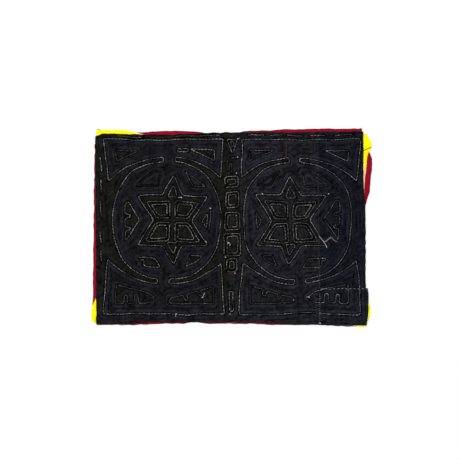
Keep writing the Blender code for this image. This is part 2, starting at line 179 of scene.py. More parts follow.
# Runs that stand alone: how pale, and where they go
RUNS = (
    # top basting, left half
    (PLAIN, ((-174, 138.8), (-152, 138.4), (-134, 138.6))),
    (FAINT, ((-86, 139.0), (-50, 139.6), (-19, 140.6))),
    # tab by the top inner triangle
    (PALE, ((-83, 120), (-66, 119.4), (-66, 114.6), (-83, 115.4), (-83, 120))),
    # top basting, right half
    (PLAIN, ((24, 141), (51, 140.6))),
    (PLAIN, ((58, 140.4), (77, 140.8))),
    (PLAIN, ((84, 140.8), (109, 140.4))),
    (PLAIN, ((120, 140.4), (142, 140.8))),
    (PLAIN, ((156, 141), (187, 141.2))),
    # left basting
    (PALE, ((-202, 106), (-199.6, 85))),
    (PALE, ((-200.4, 73), (-199, 53))),
    (PALE, ((-200.6, 42), (-198.4, 16))),
    (PALE, ((-200.2, -5), (-199, -22))),
    (PALE, ((-199.8, -34), (-198, -54))),
    (FAINT, ((-203, -61), (-200, -62))),
    # the column's bar, comb and inner triangle
    (PLAIN, ((-1, 107.5), (9.5, 107.5))),
    (FAINT, ((-7, 104), (-7, 88), (-3.5, 88), (-3.5, 99), (0, 99), (0, 84))),
    (PLAIN, ((-3, 130.5), (4, 130.5), (1, 121), (-3, 130.5))),
    # tail by the inner triangle
    (FAINT, ((-32.3, 29), (-33, 14), (-34.5, -6))),
)

KNOTS = np.array((  # X, Y and radius
    (144, -29, 0.85), (138, -46.5, 0.75), (147, 51.5, 0.75), (46.5, 51.5, 0.85), (-76.5, 46, 0.95),
    (-32.5, 29.5, 0.95), (-39, -21.5, 0.9), (9, 135, 0.8), (9, 107.5, 0.8), (7, 83, 0.85),
    (-5.5, -23, 1.1), (-9.5, -45, 0.8), (5, -69, 0.8), (-44.5, -105.5, 0.9), (-2.5, -131, 0.75),
    (117.5, -105.5, 0.9), (94, -110, 0.7), (-84.5, -131, 0.85), (134, -145, 1.0),
))

# Loose ends and tangled thread that lie on top: their radius and places
TAILS = (
    (0.3, ((132.5, -13), (135, -16), (138, -19.5), (141, -21.5), (144, -20), (148, -16), (151, -14.5))),
    (0.3, ((138.5, -20), (141, -23), (143, -26.5), (144.5, -29.5))),
    (0.19, ((150.5, -14.5), (153, -16.5), (155.5, -20), (159.5, -21))),
    (0.3, ((-5.5, -23), (-3.5, -22), (-2, -24.5), (-3, -27.5))),
    (0.28, ((-44.5, -105.5), (-42, -102), (-41.5, -98.5))),
    (0.28, ((-76.5, 46), (-79, 47), (-81.5, 46))),
    (0.26, ((117.5, -105.5), (115, -104), (113.5, -105.5))),
    (0.26, ((9, 135), (11, 136.5), (12, 135.5))),
    (0.26, ((-84.5, -131), (-86, -133.5), (-85, -135))),
)
RED_TAILS = (
    (0.26, ((82.5, 129), (83, 122), (82, 114), (82.5, 106))),
    (0.24, ((-128.5, 102), (-126, 101))),
    (0.24, ((50.5, 122), (52.5, 122), (55, 122.5))),
    (0.3, ((54, 123.5), (55.5, 122.5), (57, 121))),
    (0.26, ((36.5, 46), (38.5, 45), (41.5, 45.5))),
    (0.2, ((-5.5, -68.5), (-2, -69), (2.5, -68.5))),
)
TAIL_PALE, TAIL_WARM, TAIL_PROUD = 0.85, 0.8, 0.7

# Sewing thread. A pair gives the least and the most of a measure.
THREAD, ECHO_THREAD, WHIP_THREAD = 0.26, 0.24, 0.208  # radii
DARK_THIN, PALE_THICK = 0.85, 1.15  # what the radius of a dark and of a pale stitch is multiplied by
STITCH_LENGTHS, SKIP_LENGTHS = (3.0, 6.0), (0.2, 0.6)  # a stitch, and the cloth after it
STITCH_TONES, DARKEST = (0.45, 1.25), 0.02
OVERRUN = 0.4  # how far the last stitch may pass the end of its line
STRAY = 0.13  # how far, about, a stitch's ends lie from the line
PROUD = 0.3  # how much of its radius a stitch stands off the cloth
TAPER, ARCH, DIVE = 2.2, 0.25, 3.6  # how a stitch thins, stands up and dives at its ends
LINE_STEP = 0.5  # distance between points along a sewn line
CORNER_ROUNDS = 3  # how often its corners are smoothed
LOOP_THIN = 4  # every which one of its points counts, in telling what it encloses
PLY = 0.9  # length of one turn of the thread's twist
DULL, DULL_BLEND = 0.22, 4  # how much duller thread is on the side piece
STAR_WARM_X, STAR_WARM_Y = 48, 60  # how far round a star's centre the thread is warmer
COLUMN_WARM_X, COLUMN_WARM_Y = (-22, 8), (-100, 20)  # where it sets in, in the column: inwards, and downwards

WHIP_PITCH, WHIP_STRAY, WHIP_SLANT, WHIP_RAISED = 3.0, 0.25, 0.5, 0.45
WHIP_LEFT, WHIP_RIGHT, WHIP_LONGER = (0.7, 1.1), (0.7, 1.2), 0.5  # how far they reach over the seam
WHIP_LOW, WHIP_MIDDLE, WHIP_HIGH = (-95, 0.6), (-12, 0.25), 0.14  # how pale below two heights, and above
WHIP_TONES, WHIP_IN = (0.4, 1.3), 3  # how they vary, and how far from the seam's ends they stop
MEND_PITCH, MEND_LENGTHS, MEND_STRAY, MEND_TONES = 6.2, (2.8, 3.5), 0.15, (0.75, 1.0)
MEND_IN, MEND_FOOT = 1.2, -92.0  # how far below the mend's edge it is sewn, and at what height it starts
MEND_FIRST, MEND_LAST = 2.0, 1.0  # how far in from the seam and from the right edge

DOUBLED, DOUBLED_PALE = 0.07, 0.5  # share of pale stitches sewn twice, and how pale they are at least
BEAD_RADII, BEAD_LONG, BEAD_RAISED, BEAD_TONES = (0.38, 0.55), 1.25, 0.35, (0.8, 1.2)

YARN_LENGTHS, YARN_RADII = (0.8, 2.2), (0.07, 0.12)
LONG_YARNS = 0.06  # share of the frayed yarns that are twice as long
YARN_TURN, YARN_TILT = 0.5, 0.12  # how far, about, they point sideways, and up or down
YARN_HEIGHTS, YARN_OUT = (0.45, 0.8), 0.3  # shares of the cloth's thickness, and of the yarn's length

# The frame of the photograph: its width at the panel, and where its middle falls on the panel
VIEW_WIDE = 699.0
VIEW_X, VIEW_Y = -2.7, -3.4
LENS, SENSOR = 85.0, 36.0
SKY, KEY_WATTS, KEY_WIDE, KEY_PLACE = 0.6, 30.0, 0.6, (-0.55, 0.6, 1.65)
FLOOR_HALF = 4
FLOOR_GLOW = 0.83  # the floor is a light table, so no shadow shows on it


# Shader writing

class Wire:
    """A value in a shader, whose plain arithmetic adds Math nodes."""

    def __init__(self, finish, socket):
        self.finish, self.socket = finish, socket

    def math(self, operation, *values):
        return self.finish.node("ShaderNodeMath", dict(enumerate(values)), operation=operation)

    def __add__(self, other):
        return self.math("ADD", self, other)

    __radd__ = __add__

    def __mul__(self, other):
        return self.math("MULTIPLY", self, other)

    __rmul__ = __mul__

    def __sub__(self, other):
        return self.math("SUBTRACT", self, other)

    def __rsub__(self, other):
        return self.math("SUBTRACT", other, self)

    def sine(self):
        return self.math("SINE", self)

    def size(self):
        return self.math("ABSOLUTE", self)

    def ease(self, low, high):
        """0 below low, 1 above high and smooth between."""
        sockets = {"Value": self, "From Min": low, "From Max": high}
        return self.finish.node("ShaderNodeMapRange", sockets, interpolation_type="SMOOTHSTEP")


class Finish:
    """A material, made one node at a time."""

    def __init__(self, name, **constants):
        self.material = bpy.data.materials.new(name)
        self.material.use_nodes = True
        self.tree = self.material.node_tree
        self.shader = self.tree.nodes["Principled BSDF"]
        for socket, value in constants.items():
            self.shader.inputs[socket.replace("_", " ")].default_value = value

    def node(self, kind, sockets={}, out=0, **settings):
        made = self.tree.nodes.new(kind)
        for name, value in settings.items():
            setattr(made, name, value)
        for name, value in sockets.items():
            self.feed(made.inputs[name], value)
        return Wire(self, made.outputs[out])

    def feed(self, socket, value):
        if isinstance(value, Wire):
            self.tree.links.new(value.socket, socket)
        else:
            socket.default_value = value

    def attribute(self, name):
        return self.node("ShaderNodeAttribute", out="Fac", attribute_name=name)

    def place(self):
        return self.node("ShaderNodeTexCoord", out="Object")

    def along(self, axis):
        """How far along one of the piece's axes a point lies, in metres."""
        return self.node("ShaderNodeSeparateXYZ", {0: self.place()}, axis)

    def noise(self, spots):
        scale = (1 / spots.across, 1 / spots.along, 1 / spots.high)
        stretched = self.node("ShaderNodeMapping", {"Vector": self.place(), "Scale": scale})
        sockets = {"Vector": stretched, "Scale": 1.0, "Detail": spots.detail, "Roughness": spots.roughness}
        return self.node("ShaderNodeTexNoise", sockets)

    def mix(self, share, first, second, blend="MIX"):
        sockets = {0: share, 6: first, 7: second}
        return self.node("ShaderNodeMix", sockets, 2, data_type="RGBA", blend_type=blend)

    def shaded(self, colour, amount):
        """A colour made darker or paler by an amount about 1."""
        grey = self.node("ShaderNodeCombineColor", {0: amount, 1: amount, 2: amount})
        return self.mix(1.0, colour, grey, "MULTIPLY")

    def parted(self, colour, parts):
        """A colour with other ones over it, each where its attribute is 1."""
        for attribute, over in parts:
            colour = self.mix(self.attribute(attribute), colour, over)
        return colour

    def surface(self, colour, roughness, height, distance):
        """Joins the shader to its colour, roughness and bumps, and gives the material."""
        bump = self.node("ShaderNodeBump", {"Height": height, "Distance": distance})
        for socket, value in (("Base Color", colour), ("Roughness", roughness), ("Normal", bump)):
            self.feed(self.shader.inputs[socket], value)
        return self.material


# Spots and streaks in the dye and the weave, and the mottling of painted pucker shade: their lengths along X,
# Y and Z, in metres
Spots = namedtuple("Spots", "across along high detail roughness", defaults=(2.0, 0.5))
YARNS_UP, YARNS_ACROSS = Spots(0.0006, 0.022, 0.02), Spots(0.026, 0.0006, 0.02)
SLUBS_UP, SLUBS_ACROSS = Spots(0.0024, 0.03, 0.02), Spots(0.035, 0.0024, 0.02)
DYE_PATCHES = Spots(0.035, 0.03, 0.05, 4.0, 0.6)
PUCKER_SHADE_SPOTS = Spots(0.0034, 0.0032, 0.004, 2.0, 0.65)
CRUMPLES = Spots(0.0045, 0.0035, 0.004, 3.0, 0.6)
FLUFF = Spots(0.0007, 0.0007, 0.0007)

YARN = 0.00042  # metres from one yarn of the weave to the next
YARN_TONE, SLUB_TONE = 0.14, 0.34  # how much yarns and slubs change the tone of cotton
COTTON_ROUGH, PATCH_ROUGH = 0.86, 0.1  # its roughness, and how much patches of dye add
WEAVE_BUMP, YARN_BUMP, SLUB_BUMP = 0.5, 0.5, 0.8  # shares of its bumps
SPUN_TONE, TWIST_TONE, FLUFF_TONE = 0.62, 0.3, 0.3  # the tone of thread, and what its twist and fluff add
SPUN_ROUGH, FLUFF_ROUGH = 0.75, 0.2  # its roughness, and what fluff adds
WEAVE_HIGH, PLY_HIGH = 0.00016, 0.00012  # metres that the bumps of weave and thread stand out
CRUMPLE = 6.0  # how much higher than the weave the black cloth is crumpled
PUCKER_SHADE = 1.75  # how strongly random mottling paints the light and shade of small puckers, close to
PAINTED_TROUGH_SHADE, PAINTED_FOLD_LIGHT = 0.08, 1.88  # painted shade of the deepest troughs and painted light of the highest folds, as tones
LINT, LINT_APART = 0.15, 140.0  # how pale the specks of lint are, and how many lie along a metre
LINT_INNER, LINT_OUTER, LINT_COLOUR = 0.02, 0.05, (0.2, 0.18, 0.15, 1)


def weave(finish):
    """Height of a plain weave, 0 to 1."""
    across, up = ((finish.along(axis) * (math.pi / YARN)).sine() for axis in "XY")
    return across * up * 0.5 + 0.5


def near_line(finish, start, end, inner, outer):
    """1 within inner millimetres of the line through two places, and 0 beyond outer."""
    (x0, y0), (x1, y1) = start, end
    length = math.hypot(x1 - x0, y1 - y0)
    x, y = finish.along("X"), finish.along("Y")
    past = (y * (x1 - x0) - x * (y1 - y0)) * (1 / length) - (y0 * x1 - x0 * y1) * MM / length
    return 1 - past.size().ease(inner * MM, outer * MM)


def woven(finish, plain, patchiness):
    """The tone of cotton, uneven with its yarns and its dye, its roughness and its height."""
    yarns = finish.noise(YARNS_UP) + finish.noise(YARNS_ACROSS)
    slub = finish.noise(SLUBS_UP) + finish.noise(SLUBS_ACROSS)
    patchy = finish.noise(DYE_PATCHES)
    tone = plain + YARN_TONE * yarns + SLUB_TONE * slub + (patchy - 0.5) * patchiness
    roughness = COTTON_ROUGH + PATCH_ROUGH * patchy
    return tone, roughness, weave(finish) * WEAVE_BUMP + yarns * YARN_BUMP + slub * SLUB_BUMP


def cotton(name, colour, parts, rim_shade, fold_shade=None):
    """Plain woven cotton. parts are its other colours, each with the attribute that tells where it lies,
    the next argument paints shade on the rounded cut edge, and the last one is the colour of the painted
    shadow along the pressed fold."""
    finish = Finish(name, Specular_IOR_Level=0.1)
    base = finish.parted(colour, parts)
    # painted shadow: a dark line along the pressed fold, where its raised flap shades the cloth below
    if fold_shade is not None:
        pressed = near_line(finish, *YELLOW_FOLD, FOLD_SHADOW_INNER, FOLD_SHADOW_OUTER)
        base = finish.mix(pressed * FOLD_SHADOW_STRENGTH, base, fold_shade)
    tone, roughness, height = woven(finish, plain=0.52, patchiness=0.6)
    edge = finish.attribute("edge").ease(0.2, EDGE_ROLL)
    # painted shade: the tone falls towards the rounded cut edge
    return finish.surface(finish.shaded(base, tone * (rim_shade + (1 - rim_shade) * edge)), roughness, height, WEAVE_HIGH)


def sewn_cotton(name, colour, parts):
    """Black cotton that is sewn over: painted shade in its troughs and painted light on its folds, painted
    light and shade of small puckers as mottling, crumpled, a little faded and linty.
    """
    finish = Finish(name, Specular_IOR_Level=0.03)
    tone, roughness, height = woven(finish, plain=0.53, patchiness=0.35)
    # painted light and shade of small puckers, as random mottling
    tone = tone + (finish.noise(PUCKER_SHADE_SPOTS) - 0.5) * PUCKER_SHADE
    # painted shade in the troughs beside the sewn lines, and painted light on the raised folds
    tone = tone * (PAINTED_TROUGH_SHADE + (PAINTED_FOLD_LIGHT - PAINTED_TROUGH_SHADE) * finish.attribute("ridge").ease(-0.5, 0.5))
    lint = finish.node("ShaderNodeTexVoronoi", {"Vector": finish.place(), "Scale": LINT_APART})
    speck = (1 - lint.ease(LINT_INNER, LINT_OUTER)) * LINT
    base = finish.mix(speck, finish.parted(colour, parts), LINT_COLOUR)
    crumpled = height + CRUMPLE * finish.noise(CRUMPLES)
    return finish.surface(finish.shaded(base, tone), roughness, crumpled, WEAVE_HIGH)


def spun(name, pale, dark, warm=None):
    """Twisted thread, paler where the attribute pale is 1, and of another hue where warm is 1."""
    finish = Finish(name, Sheen_Weight=0.15, Sheen_Roughness=0.5, Specular_IOR_Level=0.2)
    twist = finish.attribute("twist").sine() * 0.5 + 0.5
    fluff = finish.noise(FLUFF)
    if warm is not None:
        pale = finish.mix(finish.attribute("warm"), pale, warm)
    colour = finish.mix(finish.attribute("pale"), dark, pale)
    colour = finish.shaded(colour, SPUN_TONE + TWIST_TONE * twist + FLUFF_TONE * fluff)
    return finish.surface(colour, SPUN_ROUGH + FLUFF_ROUGH * fluff, twist, PLY_HIGH)


# Uneven fields

def swell(points, apart, seed):
    """A smooth uneven field, about -1 to 1, whose humps lie about this far apart."""
    draw = np.random.default_rng(seed)
    angles = draw.uniform(0, math.tau, WAVES)
    turns = math.tau / (apart * draw.uniform(*WAVE_SPREAD, WAVES))
    ways = np.stack([np.cos(angles), np.sin(angles)]) * turns
    return np.sin(points @ ways + draw.uniform(0, math.tau, WAVES)).sum(axis=-1) / WAVE_SUM


def vary(points, *measures):
    """What uneven measures add up to at each point."""
    return sum(one.mean + one.swing * swell(points, one.apart, one.seed) for one in measures)


def lift(points):
    """How far the whole panel stands off the floor, where it lies unevenly."""
    return LIFT * np.clip(vary(points, PANEL_LIFT), 0, None)


def ramp(values, start, length):
    """0 up to start, 1 from a length past it, and smooth between."""
    share = np.clip((values - start) / length, 0, 1)
    return share * share * (3 - 2 * share)


def unit(vectors):
    return vectors / np.linalg.norm(vectors, axis=-1, keepdims=True)


def dip(distance, reach):
    """1 at no distance, falling off over a reach."""
    return np.exp(-((distance / reach) ** 2))


def marks_at(points, marks):
    """How much of each mark lies at each point, by its name."""
    values = {}
    for name, value, bounds in marks:
        for way, start, length in bounds:
            value = value * ramp(points @ way, start, length)
        values[name] = np.minimum(values.get(name, 0) + value, 1)
    return values


# Cut edges, read from the frame

Cloth = namedtuple("Cloth", "bottom right top left seed")


def cut_edges(node, seed):
    """The four uneven sides of a piece, each as places along it and how far out it lies there."""
    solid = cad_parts[node].data
    wall = {n for face in solid.polygons if abs(face.normal.z) < UPRIGHT for n in face.vertices}
    points = np.array([tuple(solid.vertices[n].co)[:2] for n in sorted(wall)]) / MM
    points = np.unique(points.round(2), axis=0)
    corners = [points[np.argmax(points @ way)] for way in ((-1, -1), (1, -1), (1, 1), (-1, 1))]
    ends = [np.stack([corners[n], corners[(n + 1) % 4]]) for n in range(4)]
    nearest = np.argmin([distance_to_run(points, *run) for run in ends], axis=0)
    sides = []
    for n in range(4):
        side = np.concatenate([points[nearest == n], ends[n]])
        along = n % 2
        side = side[np.argsort(side[:, along])]
        sides.append((side[:, along], side[:, 1 - along]))
    return Cloth(*sides, seed)


def distance_to_run(points, start, end):
    """From each point to the nearest place on a straight run."""
    step = end - start
    share = np.clip((points - start) @ step / (step @ step), 0, 1)
    return np.linalg.norm(points - start - share[:, None] * step, axis=1)


def reach(side, along, seed):
    """How far out a side lies, with the small unevenness of a cut edge."""
    places = np.stack([along, 0 * along + FRAY_APART * seed], axis=-1)
    rough = swell(places, FRAY_PITCH, seed) + FINE_FRAY * swell(places, FINE_FRAY_PITCH, seed + 1)
    return np.interp(along, *side) + FRAY * rough


def spot(cloth, s, t):
    """The point a share s across and a share t up a cloth whose four sides are uneven."""
    x, y = 0 * s, 0 * t
    seed = cloth.seed
    for _ in range(FIT_ROUNDS):
        left, right = reach(cloth.left, y, seed), reach(cloth.right, y, seed + 2)
        bottom, top = reach(cloth.bottom, x, seed + 4), reach(cloth.top, x, seed + 6)
        x, y = left + s * (right - left), bottom + t * (top - bottom)
    return np.stack([x, y], axis=-1)


RED = cut_edges("red_layer", 20)
YELLOW = cut_edges("yellow_layer", 40)
MAIN = cut_edges("backing_main", 60)
SIDE = cut_edges("backing_side", 80)
MEND = cut_edges("backing_corner", 100)


def low_z(node):
    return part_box(node)[0].z / MM


LAP_RISE = (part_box("backing_side")[1].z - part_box("backing_main")[1].z) / MM
BACKING_Z = low_z("backing_main")


def past_seam(points):
    return points[:, 0] - np.interp(points[:, 1], *SIDE.left)


def above_mend(points):
    return points[:, 1] - np.interp(points[:, 0], *MEND.top)


def rise(points, laps):
    """How far a piece is raised by those under it: it laps over the main piece, then over the side piece."""
    x, y = points.T
    past = x - np.interp(y, *MAIN.right), np.interp(x, *SIDE.bottom) - y
    return sum(LAP_RISE * (1 - ramp(distance, LAP_CLEAR, LAP_RAMP)) for distance in past[:laps])


# The sewn pattern

def ellipse_arc(start, end, side):
    p = np.linspace(start, end, RING_STEPS)
    return [(u, side * RING_HIGH * math.sqrt(1 - (u / RING_WIDE) ** 2)) for u in p]


def medallion_arc(start, end, side):
    """The medallion's edge from its top at p = start round one side to its bottom at p = end."""
    power = 2 / MEDALLION_SQUARENESS

    def angle_at(p):
        return math.acos(math.copysign(abs(p / MEDALLION_WIDE) ** (1 / power), p))

    last = -angle_at(end) if side > 0 else math.tau - angle_at(end)
    points = []
    for angle in np.linspace(angle_at(start), last, MEDALLION_STEPS):
        across, up = math.cos(angle), math.sin(angle)
        wide = math.copysign(MEDALLION_WIDE * abs(across) ** power, across)
        points.append((wide, math.copysign(MEDALLION_HIGH * abs(up) ** power, up)))
    return points


def ring_block():
    """The dark block's edge as one loop: four corner pieces bridged to the medallion by two necks."""
    top_in, top_out = TOP_NECK - NECK_HALF, TOP_NECK + NECK_HALF
    low_in, low_out = BOTTOM_NECK - NECK_HALF, BOTTOM_NECK + NECK_HALF
    return [
        (BLOCK_OUTER, BLOCK_TOP),
        (BLOCK_TOP_INNER, BLOCK_TOP),
        *ellipse_arc(HORN_INNER, top_in, 1),
        *medallion_arc(top_in, low_in, -1),
        *ellipse_arc(low_in, HORN_INNER, -1),
        (BLOCK_LOW_INNER, BLOCK_BOTTOM),
        (BLOCK_OUTER, BLOCK_BOTTOM),
        *ellipse_arc(HORN_OUTER, low_out, -1),
        *medallion_arc(top_out, low_out, 1)[::-1],
        *ellipse_arc(top_out, HORN_OUTER, 1),
    ]


def star():
    upper = [(STAR_SHOULDER, STAR_POINT_HIGH), (STAR_POINT_WIDE, STAR_POINT_HIGH)]
    right = [*upper, (STAR_WAIST, 0), *[(u, -v) for u, v in upper[::-1]]]
    left = [(-u, v) for u, v in right[::-1]]
    loop = [(STAR_APEX_LEAN, STAR_APEX), *right, (STAR_APEX_LEAN, -STAR_APEX), *left]
    return [(u + STAR_SHIFT, v) for u, v in loop]


def pane(across, up):
    head, head_wide = (UPPER_HEAD, UPPER_HEAD_WIDE) if up > 0 else (LOWER_HEAD, LOWER_HEAD_WIDE)
    corners = ((PANE_INNER, PANE_SILL), (PANE_SILL_WIDE, PANE_SILL), (head_wide, head), (PANE_INNER, head))
    return [(STAR_SHIFT + across * u, up * v) for u, v in corners]


def star_tip(up):
    corners = [(-TIP_HALF, TIP_BASE), (TIP_HALF, TIP_BASE), (STAR_APEX_LEAN, TIP_APEX)]
    return [(STAR_SHIFT + u, up * v) for u, v in corners]


def box_outline(box):
    wide, low, high = box.width / 2, box.middle - box.height / 2, box.middle + box.height / 2
    return [(-wide, low), (wide, low), (wide, high), (-wide, high)]


def inset(corners, distance):
    """A shape's outline moved inwards by a distance, or outwards by a negative one."""
    points = np.array(corners, float)
    following = np.roll(points, -1, axis=0)
    ahead = following - points
    turning = (points[:, 0] * following[:, 1] - points[:, 1] * following[:, 0]).sum()
    inward = unit(np.column_stack([-ahead[:, 1], ahead[:, 0]]) * np.sign(turning))
    before = np.roll(inward, 1, axis=0)
    share = 1 + (inward * before).sum(axis=1)
    return points + (inward + before) * (distance / np.clip(share, SHARPEST, None))[:, None]


def toothed(corners, slits):
    """A shape with slits cut into one side."""
    if slits is None:
        return corners
    points = np.array(corners, float)
    start, end = points[slits.side], points[(slits.side + 1) % len(points)]
    run = unit(end - start)
    inward = np.array([-run[1], run[0]])
    if (points.mean(axis=0) - start) @ inward < 0:
        inward = -inward
    teeth = []
    for n in range(slits.count):
        middle = start + (end - start) * (n + 1) / (slits.count + 1)
        near, far = middle - run * slits.wide / 2, middle + run * slits.wide / 2
        teeth += [near, near + inward * slits.deep, far + inward * slits.deep, far]
    return [*points[: slits.side + 1], *teeth, *points[slits.side + 1:]]


def lengths_along(points):
    """How far along a line each of its points lies."""
    return np.concatenate([[0], np.cumsum(np.linalg.norm(np.diff(points, axis=0), axis=1))])


def points_along(places, lengths, points):
    return np.column_stack([np.interp(places, lengths, axis) for axis in points.T])


def hand_sewn(corners, closed=True):
    """A chalked outline as a hand sews it: corners a little round, and sides that wander a little."""
    points = np.array([*corners, corners[0]] if closed else corners, float)
    lengths = lengths_along(points)
    line = points_along(np.linspace(0, lengths[-1], max(4, round(lengths[-1] / LINE_STEP))), lengths, points)
    for _ in range(CORNER_ROUNDS):
        if closed:
            line[:-1] = (np.roll(line[:-1], 1, axis=0) + 2 * line[:-1] + np.roll(line[:-1], -1, axis=0)) / 4
            line[-1] = line[0]
        else:
            line[1:-1] = (line[:-2] + 2 * line[1:-1] + line[2:]) / 4
    return line + np.column_stack([vary(line, *WANDER_X), vary(line, *WANDER_Y)])


Line = namedtuple("Line", "points pale group bounds", defaults=("",))


def half_lines(side):
    """The sewn lines of one half; side is -1 on the left and 1 on the right."""

    def placed(shape):
        return [(side * (RING_X + p), RING_Y + v) for p, v in shape]

    group = "left" if side < 0 else "right"
    lines = [
        Line(hand_sewn(placed(ring_block())), PALE, group, "block"),
        Line(hand_sewn(placed(star())), PALE, group, "hole"),
    ]
    for across in (-1, 1):
        for up in (-1, 1):
            shape = placed(pane(across, up))
            inner_pale = PALE if up < 0 or across > 0 else PLAIN
            lines.append(Line(hand_sewn(shape), PLAIN, group))
            lines.append(Line(hand_sewn(inset(shape, DOUBLE)), inner_pale, group))
    lines += [Line(hand_sewn(placed(star_tip(up))), PLAIN, group) for up in (-1, 1)]
    for filler in FILLERS:
        shape = placed(filler.corners)
        pale = filler.left if side < 0 else filler.right
        toothed_shape = placed(toothed(filler.corners, filler.slits))
        lines.append(Line(hand_sewn(toothed_shape), pale, group, "hole" if filler.cut else ""))
        for n in range(filler.echoes):
            lines.append(Line(hand_sewn(inset(shape, -DOUBLE * (n + 1))), BLACK, "echo"))
    return lines


def column_lines():
    lines = []
    for box in COLUMN_BOXES:
        shape = box_outline(box)
        for n in range(box.outlines):
            lines.append(Line(hand_sewn(inset(shape, DOUBLE * n)), PALE if n == 0 else PLAIN, "column"))
    lines.append(Line(hand_sewn(COLUMN_TRIANGLE), PALE, "column"))
    lines += [Line(hand_sewn(places, closed=False), pale, "column") for pale, places in RUNS]
    return lines


def within(loop, points):
    """Which points lie inside a loop, by counting the edges that pass to their right."""
    inside = np.zeros(len(points), bool)
    low, high = loop.min(axis=0), loop.max(axis=0)
    near = np.flatnonzero(((points > low) & (points < high)).all(axis=1))
    x, y = points[near].T[:, None]
    (x0, y0), (x1, y1) = loop.T[..., None], np.roll(loop, -1, axis=0).T[..., None]
    crosses = (y0 > y) != (y1 > y)
    with np.errstate(divide="ignore", invalid="ignore"):
        at = x0 + (y - y0) * (x1 - x0) / (y1 - y0)
    inside[near] = (crosses & (x < at)).sum(axis=0) % 2 == 1
    return inside


def tree_of(lines):
    points = np.concatenate([line.points for line in lines])
    tree = kdtree.KDTree(len(points))
    for n, (x, y) in enumerate(points):
        tree.insert((x, y, 0), n)
    tree.balance()
    return tree


def distance_in(tree, points):
    return np.array([tree.find((x, y, 0))[2] for x, y in points])


LINES = half_lines(-1) + half_lines(1) + column_lines()
SEEN = [line for line in LINES if line.group != "echo"]
SEEN_TREE = tree_of(SEEN)
ECHO_TREE = tree_of([line for line in LINES if line.group == "echo"])


def in_block(points):
    """Which points lie on the dark block's own cloth, outside the star and the fillers."""
    found = np.zeros(len(points), bool)
    for line in LINES:
        if line.bounds:
            inside = within(line.points[::LOOP_THIN], points)
            found = found | inside if line.bounds == "block" else found & ~inside
    return found


Sewn = namedtuple("Sewn", "relief block")


def sewing_at(points):
    """What the sewing does to the backing at each point: how far it is raised, and how much it is block."""
    near = distance_in(SEEN_TREE, points)
    echo = distance_in(ECHO_TREE, points)
    inside = ramp(np.where(in_block(points), 1.0, -1.0) * near, -BLOCK_BLEND / 2, BLOCK_BLEND)
    fold = FOLD_HIGH * (FOLD_OUTSIDE + (1 - FOLD_OUTSIDE) * inside) * vary(points, FOLD_HEIGHT)
    fold = fold * ramp(near, FOLD_START, FOLD_RAMP)
    fold = fold * ramp(FOLD_WIDE * vary(points, FOLD_WIDTH) - near, 0, FOLD_RAMP)
    trough = TROUGH * dip(near, TROUGH_REACH) * vary(points, TROUGH_DEPTH)
    drawn = ECHO_TROUGH * dip(echo, ECHO_REACH)
    ripple = RIPPLE * np.cos(math.tau * near / RIPPLE_PITCH) * vary(points, RIPPLE_HEIGHT)
    ripple = ripple * ramp(near, RIPPLE_START, RIPPLE_RAMP)
    pucker = PUCKER * vary(points, *PUCKERS)
    return Sewn(np.clip(fold - trough - drawn + ripple + pucker, DEEPEST, HIGHEST), inside)


# Making sheets

def linked(name, data):
    piece = bpy.data.objects.new(name, data)
    bpy.context.scene.collection.objects.link(piece)
    return piece


def mesh_of(name, shape):
    mesh = bpy.data.meshes.new(name)
    shape.to_mesh(mesh)
    shape.free()
    return mesh


def put(mesh, **values):
    """Gives each point of a mesh the values that its material reads."""
    for name, value in values.items():
        value = np.broadcast_to(value, len(mesh.vertices)).astype(np.float32)
        mesh.attributes.new(name, "FLOAT", "POINT").data.foreach_set("value", value)


def finished(name, mesh, material):
    mesh.materials.clear()
    mesh.materials.append(material)
    mesh.shade_smooth()
    return linked(name, mesh)


def sheet_size(cloth):
    return np.array([np.ptp(cloth.bottom[0]), np.ptp(cloth.left[0])])


def sheet_grid(shape, cloth, pitch):
    wide, high = (round(float(length) / pitch) for length in sheet_size(cloth))
    return bmesh.ops.create_grid(shape, x_segments=wide, y_segments=high, size=0.5)["verts"]


def closed_sheet(name, cloth, grid, heights, material):
    """A cloth as one closed body. heights gives Z for its under face and its upper one, and the values
    that its material reads, all from points in millimetres."""
    pitch, crowding = grid
    shape = bmesh.new()
    upper = len(sheet_grid(shape, cloth, pitch))
    lower = sheet_grid(shape, cloth, UNDER_PITCH)
    for vert in lower:
        vert.co.z = -0.1
    under_faces = list({face for vert in lower for face in vert.link_faces})
    bmesh.ops.reverse_faces(shape, faces=under_faces)
    bmesh.ops.bridge_loops(shape, edges=[edge for edge in shape.edges if edge.is_boundary])
    mesh = mesh_of(name, shape)

    flat = np.empty(len(mesh.vertices) * 3)
    mesh.vertices.foreach_get("co", flat)
    shares = flat.reshape(-1, 3)[:, :2] + 0.5
    shares = np.clip(shares - crowding * np.sin(math.tau * shares), 0, 1)
    points = spot(cloth, shares[:, 0], shares[:, 1])
    edge = (np.minimum(shares, 1 - shares) * sheet_size(cloth)).min(axis=1)
    z, values = heights(points, edge, np.arange(len(points)) >= upper)
    mesh.vertices.foreach_set("co", (np.column_stack([points, z]) * MM).ravel())
    put(mesh, edge=edge, **values)
    mesh.update()
    piece = finished(name, mesh, material)
    mesh.set_sharp_from_angle(angle=KEEN_EDGE)
    return piece


def fold_groove(points):
    """How much of the yellow cloth's pressed fold lies at each point, where it crosses the margin."""
    start, end = np.array(YELLOW_FOLD, float)
    along = unit(end - start)
    past = (points - start) @ np.array([-along[1], along[0]])
    return dip(past, FOLD_REACH) * ramp(points[:, 0], start[0], FOLD_GROWS)


